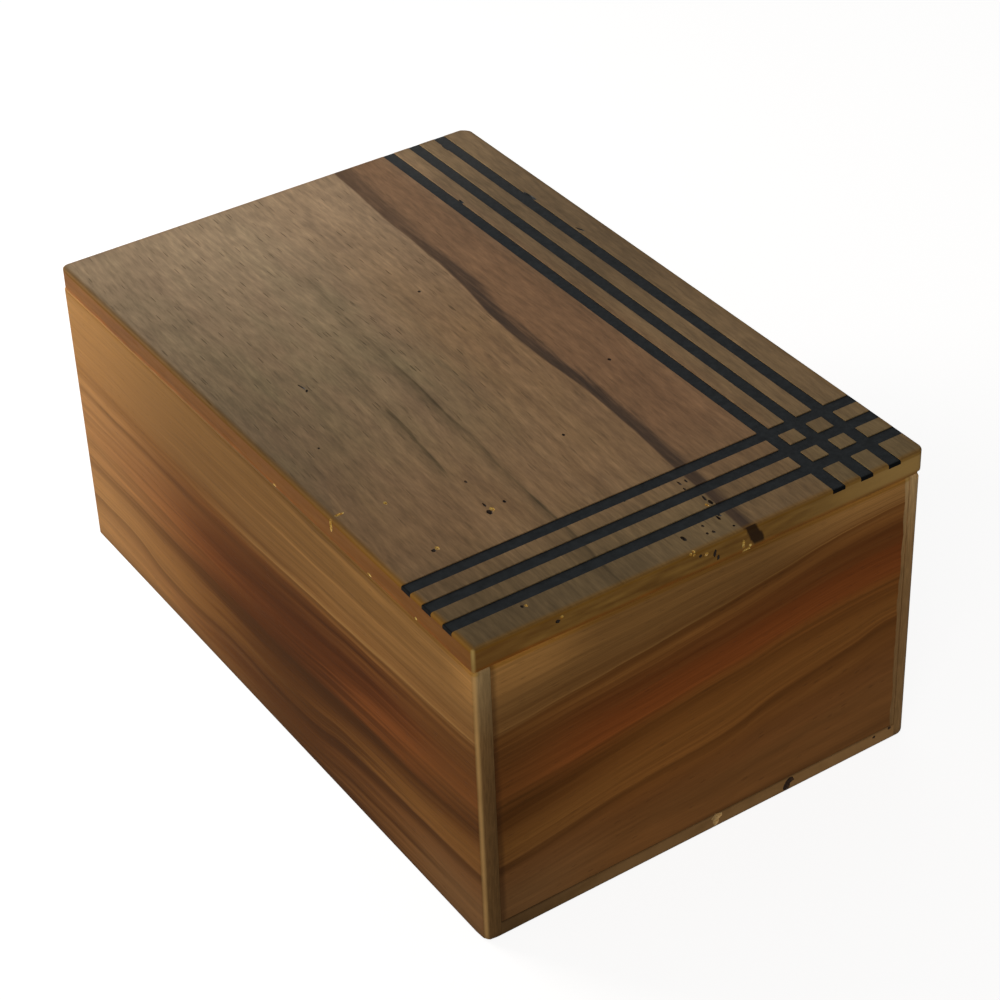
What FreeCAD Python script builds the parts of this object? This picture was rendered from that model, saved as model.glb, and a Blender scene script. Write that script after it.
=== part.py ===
import FreeCAD, Part
import os

from FreeCAD import Vector

# A wooden puzzle box. Millimetres, +Z up, origin at the middle of the underside.
# +X is the front end, -Y the left side. The lid lifts off along +Z once both lock
# pins have been thrown outwards, towards the ends, by spinning the box.

# Overall size
box_length = 155.0
box_width = 100.0
box_height = 68.5

# Boards
lid_thickness = 5.0
side_thickness = 8.0
end_thickness = 8.0
bottom_thickness = 3.5
corner_lip = 3.4  # end grain of a side that shows beside the end panel

# Eased and worn edges
lid_arris = 0.45
case_arris = 0.7
seam_ease = 0.25  # bevel on both sides of the seam under the lid
joint_ease = 0.2  # bevel of an end panel beside the sides and the bottom board
corner_wear = 0.3  # what a plain corner is rounded beyond its arris
lid_worn_corner = 1.5  # the same at the front right corner of the lid
lid_bruised_corner = 1.2  # the same at the rear left corner of the lid
foot_worn_corner = 1.8  # the same at the front right foot of the case

# Stripes let into the lid
stripe_count = 3
stripe_width = 2.9
stripe_pitch = 6.57
lengthwise_margin = 7.5  # long edge of the lid to the middle of the outermost stripe
crosswise_margin = 7.85  # the same from the front edge
stripe_depth = 0.95
stripe_recess = 0.2

# Battens and keepers under the lid
lid_fit = 0.4  # gap between the battens and the walls
batten_width = 6.0
batten_height = 5.0
batten_lead = 1.5  # bevel that leads the lid into the case
keeper_thickness = 6.0
keeper_drop = 15.5
keeper_land = 18.0  # width of the deep middle of a keeper
keeper_gap = 0.5  # keeper to pin cap
notch_clearance = 0.8  # keeper notch around the shank

# Locks
pin_drop = 9.0  # rim of the case to the axis of the pins
pin_travel = 7.0
shank_diameter = 4.0
head_diameter = 6.0
head_length = 6.0
head_bevel = 0.5
bore_clearance = 0.1  # radial
pin_end_gap = 0.3  # head to wall when released, and to cap when locked
tip_setback = 0.5  # tip behind the face of the cap when released
block_width = 26.0
block_height = 14.0
block_bevel = 3.0
cap_thickness = 3.0

# Worked out from the above
half_length = box_length / 2
half_width = box_width / 2
rim_z = box_height - lid_thickness
panel_half_width = half_width - corner_lip
inner_half_length = half_length - end_thickness
inner_half_width = half_width - side_thickness
batten_outer = inner_half_width - lid_fit
batten_inner = batten_outer - batten_width
pin_z = rim_z - pin_drop
block_length = head_length + pin_travel + 2 * pin_end_gap
block_face = inner_half_length - block_length
cap_face = block_face - cap_thickness
keeper_face = cap_face - keeper_gap


def block(low, high):
    """A box between two corners."""
    size = Vector(*high) - Vector(*low)
    return Part.makeBox(size.x, size.y, size.z, Vector(*low))


def prism(points, direction):
    """A closed outline pushed along a direction."""
    outline = Part.makePolygon([Vector(*point) for point in points + points[:1]])
    return Part.Face(outline).extrude(Vector(*direction))


def mirrored(shape, normal):
    """A shape mirrored through the origin along a normal."""
    return shape.mirror(Vector(0, 0, 0), Vector(*normal))


def edges_at_height(shape, height):
    """The edges that lie at one height all along."""
    near = 1e-6
    return [
        edge
        for edge in shape.Edges
        if abs(edge.BoundBox.ZMin - height) < near and abs(edge.BoundBox.ZMax - height) < near
    ]


def upright_edge(shape, toward_front, toward_right):
    """The upright corner edge on the named sides."""
    for edge in shape.Edges:
        middle = edge.CenterOfMass
        is_upright = edge.BoundBox.ZLength > edge.BoundBox.XLength + edge.BoundBox.YLength
        if is_upright and (middle.x > 0) == toward_front and (middle.y > 0) == toward_right:
            return edge


def eased_board(bottom, top, corner_radii, top_ease, bottom_ease):
    """A board of the box's full outline with rounded corners, a round top arris and eased foot.

    corner_radii maps (toward_front, toward_right) to the radius of that corner.
    """
    board = block((-half_length, -half_width, bottom), (half_length, half_width, top))
    for (toward_front, toward_right), radius in corner_radii.items():
        board = board.makeFillet(radius, [upright_edge(board, toward_front, toward_right)])
    board = top_ease(board, edges_at_height(board, top))
    return bottom_ease(board, edges_at_height(board, bottom))


def rounded(radius):
    """A rounding of the given radius, to be put on edges."""
    return lambda shape, edges: shape.makeFillet(radius, edges)


def bevelled(leg):
    """A bevel of the given leg, to be put on edges."""
    return lambda shape, edges: shape.makeChamfer(leg, edges)


def lid_blank():
    """The lid before its grooves are cut."""
    ease = max(lid_arris, seam_ease)
    radii = {
        (True, True): ease + lid_worn_corner,
        (True, False): ease + corner_wear,
        (False, True): ease + corner_wear,
        (False, False): ease + lid_bruised_corner,
    }
    return eased_board(rim_z, box_height, radii, rounded(lid_arris), bevelled(seam_ease))


def case_envelope():
    """The outside of the case, which every wall is trimmed to."""
    ease = max(case_arris, seam_ease)
    radii = {
        (True, True): ease + foot_worn_corner,
        (True, False): ease + corner_wear,
        (False, True): ease + corner_wear,
        (False, False): ease + corner_wear,
    }
    return eased_board(0, rim_z, radii, bevelled(seam_ease), rounded(case_arris))


def left_side(envelope):
    """A long side: rabbeted at both ends for the end panels and below for the bottom."""
    outer = -half_width
    lip = -panel_half_width
    inner = -inner_half_width
    plan = [
        (-half_length, outer, 0),
        (half_length, outer, 0),
        (half_length, lip, 0),
        (inner_half_length, lip, 0),
        (inner_half_length, inner, 0),
        (-inner_half_length, inner, 0),
        (-inner_half_length, lip, 0),
        (-half_length, lip, 0),
    ]
    board = prism(plan, (0, 0, rim_z))
    rabbet = block((-half_length, lip, 0), (half_length, inner, bottom_thickness))
    return board.cut(rabbet).common(envelope)


def front_end(envelope):
    """An end panel, bevelled on the outside where it meets the sides and the bottom."""
    outer = half_length
    inner = inner_half_length
    edge = panel_half_width
    plan = [
        (inner, -edge, bottom_thickness),
        (outer - joint_ease, -edge, bottom_thickness),
        (outer, -edge + joint_ease, bottom_thickness),
        (outer, edge - joint_ease, bottom_thickness),
        (outer - joint_ease, edge, bottom_thickness),
        (inner, edge, bottom_thickness),
    ]
    panel = prism(plan, (0, 0, rim_z - bottom_thickness))
    foot = [
        (outer, -edge, bottom_thickness),
        (outer - joint_ease, -edge, bottom_thickness),
        (outer, -edge, bottom_thickness + joint_ease),
    ]
    return panel.cut(prism(foot, (0, 2 * edge, 0))).common(envelope)


def bottom_board(envelope):
    """The bottom, let into the sides and running under both end panels."""
    low = (-half_length, -panel_half_width, 0)
    high = (half_length, panel_half_width, bottom_thickness)
    return block(low, high).common(envelope)


def stripe_place(number, outermost):
    """The middle of a stripe, counted inwards from the outermost one."""
    return outermost - number * stripe_pitch


def crosswise_groove(number, top):
    """The space of a stripe that runs across the lid."""
    middle = stripe_place(number, half_length - crosswise_margin)
    low = (middle - stripe_width / 2, -half_width, box_height - stripe_depth)
    high = (middle + stripe_width / 2, half_width, top)
    return block(low, high)


def lengthwise_groove(number, top):
    """The space of a stripe that runs along the lid."""
    middle = stripe_place(number, half_width - lengthwise_margin)
    low = (-half_length, middle - stripe_width / 2, box_height - stripe_depth)
    high = (half_length, middle + stripe_width / 2, top)
    return block(low, high)


def lid_pieces():
    """The grooved lid and its stripes; the crosswise ones run through the others."""
    blank = lid_blank()
    sunk_top = box_height - stripe_recess
    crossing = [crosswise_groove(number, box_height) for number in range(stripe_count)]
    along = [lengthwise_groove(number, box_height) for number in range(stripe_count)]
    pieces = {"lid_panel": blank.cut(crossing + along)}
    for number in range(stripe_count):
        across_strip = crosswise_groove(number, sunk_top)
        along_strip = lengthwise_groove(number, sunk_top).cut(crossing)
        pieces[f"crosswise_inlay_{number + 1}"] = across_strip.common(blank)
        pieces[f"lengthwise_inlay_{number + 1}"] = along_strip.common(blank)
    return pieces


def right_lid_batten():
    """A strip under the lid along a long side, bevelled to lead the lid in."""
    start = -(inner_half_length - lid_fit)
    foot = rim_z - batten_height
    section = [
        (start, batten_inner, rim_z),
        (start, batten_inner, foot),
        (start, batten_outer - batten_lead, foot),
        (start, batten_outer, foot + batten_lead),
        (start, batten_outer, rim_z),
    ]
    return prism(section, (-2 * start, 0, 0))


def front_keeper():
    """A cross batten under the lid; its notch lets the pin in and catches it from below."""
    notch_half = shank_diameter / 2 + notch_clearance
    notch_floor = pin_z - notch_half
    foot = rim_z - keeper_drop
    shoulder = rim_z - batten_height
    land_half = keeper_land / 2
    shoulder_half = land_half + (shoulder - foot)
    right_half = [
        (notch_half, notch_floor),
        (notch_half, rim_z),
        (batten_inner, rim_z),
        (batten_inner, shoulder),
        (shoulder_half, shoulder),
        (land_half, foot),
    ]
    left_half = [(-across, height) for across, height in reversed(right_half)]
    outline = [(keeper_face, across, height) for across, height in right_half + left_half]
    return prism(outline, (-keeper_thickness, 0, 0))


def lock_profile():
    """The outline of a lock block and its cap, seen along the pin."""
    half = block_width / 2
    top = pin_z + block_height / 2
    foot = pin_z - block_height / 2
    return [
        (half, top),
        (half, foot + block_bevel),
        (half - block_bevel, foot),
        (block_bevel - half, foot),
        (-half, foot + block_bevel),
        (-half, top),
    ]


def bored_plate(start, thickness, bore_diameter):
    """A slice of the lock profile with a bore along X for the pin."""
    outline = [(start, across, height) for across, height in lock_profile()]
    radius = bore_diameter / 2 + bore_clearance
    bore = Part.makeCylinder(radius, thickness, Vector(start, 0, pin_z), Vector(1, 0, 0))
    return prism(outline, (thickness, 0, 0)).cut(bore)


def front_lock_pin():
    """A turned pin in its released place: bevelled head outwards, round-nosed shank inwards."""
    head_r = head_diameter / 2
    shank_r = shank_diameter / 2
    back = inner_half_length - pin_end_gap
    shoulder = back - head_length
    tip = cap_face + tip_setback
    nose_start = tip + shank_r
    nose_side = shank_r * 0.5**0.5
    half_section = Part.Wire(
        [
            Part.makeLine(Vector(tip, 0, 0), Vector(back, 0, 0)),
            Part.makeLine(Vector(back, 0, 0), Vector(back, head_r - head_bevel, 0)),
            Part.makeLine(Vector(back, head_r - head_bevel, 0), Vector(back - head_bevel, head_r, 0)),
            Part.makeLine(Vector(back - head_bevel, head_r, 0), Vector(shoulder, head_r, 0)),
            Part.makeLine(Vector(shoulder, head_r, 0), Vector(shoulder, shank_r, 0)),
            Part.makeLine(Vector(shoulder, shank_r, 0), Vector(nose_start, shank_r, 0)),
            Part.Arc(
                Vector(nose_start, shank_r, 0),
                Vector(nose_start - nose_side, nose_side, 0),
                Vector(tip, 0, 0),
            ).toShape(),
        ]
    )
    pin = Part.Face(half_section).revolve(Vector(0, 0, 0), Vector(1, 0, 0), 360)
    pin.translate(Vector(0, 0, pin_z))
    return pin


def lock_pieces():
    """Everything that is the same at both ends, the rear ones mirrored."""
    front = {
        "keeper": front_keeper(),
        "lock_block": bored_plate(block_face, block_length, head_diameter),
        "pin_cap": bored_plate(cap_face, cap_thickness, shank_diameter),
        "lock_pin": front_lock_pin(),
    }
    pieces = {f"front_{name}": shape for name, shape in front.items()}
    for name, shape in front.items():
        pieces[f"rear_{name}"] = mirrored(shape, (1, 0, 0))
    return pieces


def case_pieces():
    """The four walls and the bottom."""
    envelope = case_envelope()
    full = block((-box_length, -box_width, 0), (box_length, box_width, box_height))
    return {
        "left_side": left_side(envelope),
        "right_side": mirrored(left_side(full), (0, 1, 0)).common(envelope),
        "front_end": front_end(envelope),
        "rear_end": mirrored(front_end(full), (1, 0, 0)).common(envelope),
        "bottom_board": bottom_board(envelope),
    }


def main():
    """Build every piece and write it under its name."""
    batten = right_lid_batten()
    nodes = {
        **case_pieces(),
        **lid_pieces(),
        **lock_pieces(),
        "right_lid_batten": batten,
        "left_lid_batten": mirrored(batten, (0, 1, 0)),
    }
    os.makedirs("parts", exist_ok=True)
    for name, shape in nodes.items():
        shape.exportStep(f"parts/{name}.step")
        print(name, len(shape.Solids), "solids", round(shape.Volume, 1), "mm3", shape.isValid())


main()
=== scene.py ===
"""A wooden puzzle box: the figure, finish and wear of its boards, stripes and hidden lock."""

import logging
import math
from dataclasses import dataclass, field
from enum import Enum
from typing import Union

import bpy
from mathutils import Matrix, Vector


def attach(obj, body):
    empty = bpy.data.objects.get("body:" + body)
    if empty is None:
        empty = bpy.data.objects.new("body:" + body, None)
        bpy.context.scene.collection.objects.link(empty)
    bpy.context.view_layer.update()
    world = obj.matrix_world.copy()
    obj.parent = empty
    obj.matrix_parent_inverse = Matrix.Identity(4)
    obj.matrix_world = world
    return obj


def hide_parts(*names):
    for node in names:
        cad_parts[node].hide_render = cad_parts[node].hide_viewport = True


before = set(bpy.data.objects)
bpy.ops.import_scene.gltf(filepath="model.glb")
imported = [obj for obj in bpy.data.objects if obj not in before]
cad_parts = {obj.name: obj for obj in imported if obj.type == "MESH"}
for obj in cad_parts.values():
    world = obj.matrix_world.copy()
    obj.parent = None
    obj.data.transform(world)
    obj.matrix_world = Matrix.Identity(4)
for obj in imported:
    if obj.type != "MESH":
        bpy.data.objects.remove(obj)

log = logging.getLogger("puzzle_box")

MM = 0.001
PER_METRE = 1000.0
HALF_LENGTH = 77.5
HALF_WIDTH = 50.0
SEAM_HEIGHT = 63.5
LID_TOP = 68.5
LIP = 3.4
FACE_OFFSET = 0.1  # how far outside a face the middle of a flaw in it lies
RUN_START = -2 * HALF_LENGTH
RUN_END = RUN_START + 4 * (HALF_LENGTH + HALF_WIDTH)

Colour = tuple[float, float, float, float]
Socket = bpy.types.NodeSocket
Feed = Union[float, tuple, bpy.types.NodeSocket]


def tone(red: int, green: int, blue: int) -> Colour:
    """A colour as it looks on a screen, from 0 to 255, made linear.

    Args:
        red: Screen red.
        green: Screen green.
        blue: Screen blue.

    Returns:
        The linear colour with full alpha.
    """

    def linear(part: int) -> float:
        """One channel made linear."""
        share = part / 255
        return share / 12.92 if share <= 0.04045 else ((share + 0.055) / 1.055) ** 2.4

    return (linear(red), linear(green), linear(blue), 1.0)


BARE_WOOD = tone(190, 148, 100)


class Graph:
    """A shader tree that nodes are added to with short calls."""

    def __init__(self, tree: bpy.types.NodeTree) -> None:
        """Keeps the tree to build in."""
        self.tree = tree

    def feed(self, socket: Socket, value: Feed) -> None:
        """Links a value into a socket, or sets the socket's own value.

        Args:
            socket: The socket to feed.
            value: What it is fed with.
        """
        if isinstance(value, bpy.types.NodeSocket):
            self.tree.links.new(value, socket)
        else:
            socket.default_value = value

    def node(self, kind: str, inputs: dict | None = None, **settings: object) -> bpy.types.Node:
        """Adds a node.

        Args:
            kind: Blender's name of the node type, without the ShaderNode prefix.
            inputs: What each input, by name or number, is fed with.
            settings: The node's own settings.

        Returns:
            The new node.
        """
        made = self.tree.nodes.new("ShaderNode" + kind)
        for name, value in settings.items():
            setattr(made, name, value)
        for name, value in (inputs or {}).items():
            self.feed(made.inputs[name], value)
        return made

    def group(self, tree: bpy.types.NodeTree, **inputs: Feed) -> dict[str, Socket]:
        """Places a node group.

        Args:
            tree: The group.
            inputs: What each of its inputs is fed with.

        Returns:
            Its outputs by name.
        """
        made = self.node("Group", node_tree=tree)
        for name, value in inputs.items():
            self.feed(made.inputs[name], value)
        return {socket.name: socket for socket in made.outputs}

    def math(self, operation: str, *values: Feed) -> Socket:
        """One step of arithmetic; the operation is Blender's name for it."""
        return self.node("Math", dict(enumerate(values)), operation=operation).outputs[0]

    def add(self, *values: Feed) -> Socket:
        """Adds values up.

        Args:
            values: Two or more values.

        Returns:
            Their sum.
        """
        total = values[0]
        for value in values[1:]:
            total = self.math("ADD", total, value)
        return total

    def times(self, *values: Feed) -> Socket:
        """Multiplies values.

        Args:
            values: Two or more values.

        Returns:
            Their product.
        """
        total = values[0]
        for value in values[1:]:
            total = self.math("MULTIPLY", total, value)
        return total

    def less(self, value: Feed, other: Feed) -> Socket:
        """The first value less the other."""
        return self.math("SUBTRACT", value, other)

    def size(self, value: Feed) -> Socket:
        """A value without its sign."""
        return self.math("ABSOLUTE", value)

    def most(self, first: Feed, second: Feed) -> Socket:
        """The greater of two values."""
        return self.math("MAXIMUM", first, second)

    def span(self, value: Feed, start: Feed, end: Feed, low: Feed = 0.0, high: Feed = 1.0,
             smooth: bool = True) -> Socket:
        """Maps a stretch of a value onto another, held at its ends.

        Args:
            value: What is mapped.
            start: Where the stretch starts.
            end: Where it ends.
            low: What its start becomes.
            high: What its end becomes.
            smooth: Whether the change eases in and out.

        Returns:
            The mapped value.
        """
        kind = "SMOOTHSTEP" if smooth else "LINEAR"
        ends = {"Value": value, "From Min": start, "From Max": end, "To Min": low, "To Max": high}
        return self.node("MapRange", ends, interpolation_type=kind).outputs["Result"]

    def window(self, value: Feed, middle: Feed, reach: float, edge: float) -> Socket:
        """1 within a reach of a middle, falling to 0 over an edge."""
        return self.span(self.size(self.less(value, middle)), reach, reach + edge, 1.0, 0.0)

    def mix(self, share: Feed, first: Feed, second: Feed, way: str = "MIX") -> Socket:
        """Two colours mixed by a share of the second."""
        made = self.node("Mix", {0: share, 6: first, 7: second}, data_type="RGBA", blend_type=way)
        return made.outputs[2]

    def tinted(self, colour: Feed, *tints: tuple[Feed, Feed]) -> Socket:
        """A colour with tints laid over it in turn.

        Args:
            colour: The colour to start from.
            tints: Each tint's share and colour.

        Returns:
            The tinted colour.
        """
        for share, tint in tints:
            colour = self.mix(share, colour, tint)
        return colour

    def shaded(self, colour: Feed, shade: Feed) -> Socket:
        """A colour made lighter or darker by a factor."""
        return self.mix(1.0, colour, self.vector(shade, shade, shade), "MULTIPLY")

    def ramp(self, value: Feed, stops: list[tuple[float, Colour]]) -> Socket:
        """A colour that changes along a value.

        Args:
            value: What it follows, from 0 to 1.
            stops: Places from 0 to 1, each with its colour.

        Returns:
            The colour.
        """
        made = self.node("ValToRGB", {0: value})
        elements = made.color_ramp.elements
        while len(elements) < len(stops):
            elements.new(1.0)
        for element, (place, colour) in zip(elements, stops):
            element.position = place
            element.color = colour
        return made.outputs[0]

    def noise(self, place: Feed, detail: float = 2.0, rough: float = 0.5) -> Socket:
        """Soft noise around one half at a place."""
        inputs = {"Vector": place, "Scale": 1.0, "Detail": detail, "Roughness": rough}
        return self.node("TexNoise", inputs).outputs[0]

    def swing(self, value: Feed, most: float) -> Socket:
        """Noise turned into a swing either way round 0."""
        return self.span(value, 0.25, 0.75, -most, most, smooth=False)

    def factor(self, value: Feed, low: float, high: float) -> Socket:
        """Noise turned into a factor from low to high."""
        return self.span(value, 0.28, 0.72, low, high, smooth=False)

    def between(self, value: Feed, first: Colour, second: Colour) -> Socket:
        """Noise turned into a colour between two tones."""
        return self.mix(self.factor(value, 0.0, 1.0), first, second)

    def blend(self, value: Feed, *tones: Colour) -> Socket:
        """Noise turned into a colour that runs through evenly spaced tones."""
        stops = [(number / (len(tones) - 1), shade) for number, shade in enumerate(tones)]
        return self.ramp(self.factor(value, 0.0, 1.0), stops)

    def vector(self, x: Feed, y: Feed, z: Feed) -> Socket:
        """A vector from three values."""
        return self.node("CombineXYZ", {0: x, 1: y, 2: z}).outputs[0]

    def stretched(self, place: Feed, x: float, y: float, z: float) -> Socket:
        """A vector with each part multiplied by its own factor."""
        return self.node("VectorMath", {0: place, 1: (x, y, z)}, operation="MULTIPLY").outputs[0]

    def parts(self, place: Feed) -> tuple[Socket, ...]:
        """The three parts of a vector."""
        return tuple(self.node("SeparateXYZ", {0: place}).outputs)


class Effect:
    """A node group under construction, with named inputs and outputs."""

    def __init__(self, name: str, inputs: dict[str, str], outputs: tuple[str, ...]) -> None:
        """Makes the group's sockets.

        Args:
            name: The group's name.
            inputs: The kind of each input socket, Float or Vector.
            outputs: The names of its masks.
        """
        self.tree = bpy.data.node_groups.new(name, "ShaderNodeTree")
        for socket, kind in inputs.items():
            self.tree.interface.new_socket(socket, in_out="INPUT", socket_type="NodeSocket" + kind)
        for socket in outputs:
            self.tree.interface.new_socket(socket, in_out="OUTPUT", socket_type="NodeSocketFloat")
        self.graph = Graph(self.tree)
        self.given = self.tree.nodes.new("NodeGroupInput").outputs
        self.result = self.tree.nodes.new("NodeGroupOutput").inputs

    def put_out(self, **values: Socket) -> bpy.types.NodeTree:
        """Links the masks to the outputs.

        Args:
            values: The mask of each output.

        Returns:
            The finished group.
        """
        for name, value in values.items():
            self.graph.feed(self.result[name], value)
        return self.tree


@dataclass(frozen=True)
class GrainScale:
    """How long and narrow the parts of the grain are, in cycles per millimetre."""

    streak: tuple[float, float, float] = (0.008, 0.10, 0.30)
    line: tuple[float, float, float] = (0.012, 0.30, 0.95)
    fibre: tuple[float, float, float] = (0.07, 1.2, 2.2)
    pore: tuple[float, float, float] = (0.30, 1.3, 2.3)
    mottle: tuple[float, float, float] = (0.030, 0.05, 0.060)


class Effects:
    """The node groups that the finishes share."""

    def __init__(self, scale: GrainScale = GrainScale()) -> None:
        """Builds each group once.

        Args:
            scale: How fine each part of the grain is.
        """
        self.scale = scale
        self.grain = self.build_grain()
        self.growth_line = self.build_growth_line()
        self.arris = self.build_arris()

    def build_grain(self) -> bpy.types.NodeTree:
        """Grain from a place, with X along it, and a seed.

        Returns:
            The group: broad streaks, fine lines, fibre, pores and mottle.
        """
        effect = Effect("wood_grain", {"Place": "Vector", "Seed": "Float"},
                        ("Streaks", "Lines", "Fibre", "Pores", "Mottle"))
        graph, scale = effect.graph, self.scale
        seed = effect.given["Seed"]
        shift = graph.vector(graph.times(seed, 137.0), graph.times(seed, 31.0), graph.times(seed, 59.0))
        place = graph.node("VectorMath", {0: effect.given["Place"], 1: shift}, operation="ADD").outputs[0]
        cells = graph.node("TexVoronoi", {"Vector": graph.stretched(place, *scale.pore), "Scale": 1.0})
        dash = graph.span(cells.outputs["Distance"], 0.12, 0.30, 1.0, 0.0)
        kept = graph.span(graph.parts(cells.outputs["Color"])[0], 0.45, 0.9)
        return effect.put_out(
            Streaks=graph.noise(graph.stretched(place, *scale.streak), detail=3.0, rough=0.55),
            Lines=graph.noise(graph.stretched(place, *scale.line), detail=3.0, rough=0.6),
            Fibre=graph.noise(graph.stretched(place, *scale.fibre), detail=3.0, rough=0.65),
            Pores=graph.times(dash, kept),
            Mottle=graph.noise(graph.stretched(place, *scale.mottle), detail=2.0),
        )

    def build_growth_line(self) -> bpy.types.NodeTree:
        """A line at one level of the wood, with its own edge above and below.

        Returns:
            The group, with the line's mask.
        """
        effect = Effect("growth_line", dict.fromkeys(("Level", "At", "Above", "Below"), "Float"), ("Mask",))
        graph, given = effect.graph, effect.given
        over = graph.less(given["Level"], given["At"])
        upper = graph.span(over, 0.0, given["Above"], 1.0, 0.0)
        lower = graph.span(graph.times(over, -1.0), 0.0, given["Below"], 1.0, 0.0)
        return effect.put_out(Mask=graph.times(upper, lower))

    def build_arris(self) -> bpy.types.NodeTree:
        """Where the box's corners and sides are, for the wear and the painted highlights along edges.

        Returns:
            The group, with masks of the corners, the ends and the sides.
        """
        effect = Effect("arris_wear_and_highlight", {"Place": "Vector", "Width": "Float"}, ("Corner", "End", "Side"))
        graph = effect.graph
        along, across, _ = graph.parts(effect.given["Place"])
        width = effect.given["Width"]
        ends = []
        for value, half in ((along, HALF_LENGTH), (across, HALF_WIDTH)):
            inward = graph.less(half, graph.size(value))
            ends.append(graph.span(inward, 0.12, width, 1.0, 0.0))
        return effect.put_out(Corner=graph.times(*ends), End=ends[0], Side=ends[1])


class Material:
    """A material under construction: its graph, its place in millimetres and its shader."""

    def __init__(self, name: str) -> None:
        """Starts a material with one Principled shader.

        Args:
            name: The material's name.
        """
        self.made = bpy.data.materials.new(name)
        self.made.use_nodes = True
        tree = self.made.node_tree
        tree.nodes.clear()
        self.graph = Graph(tree)
        self.shader = self.graph.node("BsdfPrincipled")
        output = self.graph.node("OutputMaterial")
        tree.links.new(self.shader.outputs["BSDF"], output.inputs["Surface"])
        place = self.graph.node("TexCoord").outputs["Object"]
        self.place = self.graph.stretched(place, PER_METRE, PER_METRE, PER_METRE)

    def finish(self, colour: Feed, rough: Feed, height: Feed | None = None, relief: float = 0.1,
               **plain: float) -> bpy.types.Material:
        """Feeds the shader.

        Args:
            colour: The base colour.
            rough: The roughness.
            height: What the bump follows, or nothing.
            relief: The bump's height in millimetres.
            plain: Values of other sockets, with underscores for spaces.

        Returns:
            The finished material.
        """
        feed = self.graph.feed
        feed(self.shader.inputs["Base Color"], colour)
        feed(self.shader.inputs["Roughness"], rough)
        if height is not None:
            bump = self.graph.node("Bump", {"Height": height, "Distance": relief * MM, "Strength": 1.0})
            feed(self.shader.inputs["Normal"], bump.outputs["Normal"])
        for name, value in plain.items():
            feed(self.shader.inputs[name.replace("_", " ")], value)
        return self.made


def put_on(node: str, material: bpy.types.Material) -> None:
    """Gives a carried-over node its material.

    Args:
        node: The node's name.
        material: What it is dressed in.
    """
    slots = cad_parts[node].data.materials
    slots.clear()
    slots.append(material)
    log.info("%s carries %s", node, material.name)


def work_on(piece: bpy.types.Object) -> None:
    """Makes a piece the only one that operators act on.

    Args:
        piece: The piece to work on.
    """
    bpy.ops.object.select_all(action="DESELECT")
    piece.select_set(True)
    bpy.context.view_layer.objects.active = piece


def merged_copy(node: str, name: str) -> bpy.types.Object:
    """A copy of a carried-over node with its loose triangles joined, to be worked on further.

    Args:
        node: The node to copy.
        name: The new piece's name.

    Returns:
        The new piece.
    """
    piece = bpy.data.objects.new(name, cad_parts[node].data.copy())
    bpy.context.scene.collection.objects.link(piece)
    work_on(piece)
    bpy.ops.object.mode_set(mode="EDIT")
    bpy.ops.mesh.select_all(action="SELECT")
    bpy.ops.mesh.customdata_custom_splitnormals_clear()
    bpy.ops.mesh.remove_doubles(threshold=0.001 * MM)
    bpy.ops.mesh.dissolve_limited(angle_limit=math.radians(0.5))
    bpy.ops.object.mode_set(mode="OBJECT")
    return piece


def pare(piece: bpy.types.Object, at: Vector, outward: Vector) -> None:
    """Takes off what lies beyond a flat cut and closes the cut.

    Args:
        piece: What is cut.
        at: A point of the cut, in millimetres.
        outward: The way the cut faces.
    """
    work_on(piece)
    bpy.ops.object.mode_set(mode="EDIT")
    bpy.ops.mesh.select_all(action="SELECT")
    bpy.ops.mesh.bisect(plane_co=at * MM, plane_no=outward, use_fill=True, clear_outer=True)
    bpy.ops.object.mode_set(mode="OBJECT")


def stands_for(piece: bpy.types.Object, node: str, body: str) -> None:
    """Lets a finished piece stand for a node and move with its body.

    Args:
        piece: The finished piece.
        node: The node it stands for.
        body: What it moves with.
    """
    work_on(piece)
    bpy.ops.object.shade_smooth_by_angle(angle=math.radians(30))
    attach(piece, body)
    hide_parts(node)
    log.info("%s stands for %s", piece.name, node)


@dataclass(frozen=True)
class Flaw:
    """A small pit, nick or chip: its middle and half sizes in millimetres, and how it is turned."""

    at: tuple[float, float, float]
    half: tuple[float, float, float]
    turn: float = 0.0


def on_top(along: float, across: float, long: float, wide: float, deep: float, turn: float = 0.0) -> Flaw:
    """A flaw in the lid's top, with its half length, width and depth."""
    return Flaw((along, across, LID_TOP), (long, wide, deep), turn)


def on_front(across: float, height: float, deep: float, wide: float, tall: float) -> Flaw:
    """A flaw in the front, with its half depth, width and height."""
    return Flaw((HALF_LENGTH + FACE_OFFSET, across, height), (deep, wide, tall))


def on_left(along: float, height: float, long: float, deep: float, tall: float) -> Flaw:
    """A flaw in the left side, with its half length, depth and height."""
    return Flaw((along, -HALF_WIDTH - FACE_OFFSET, height), (long, deep, tall))


SEAM_BRUISE = (Flaw((77.1, 50.0, 63.1), (2.1, 2.1, 1.5)),)
BRUISE_SEED = 120


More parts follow.
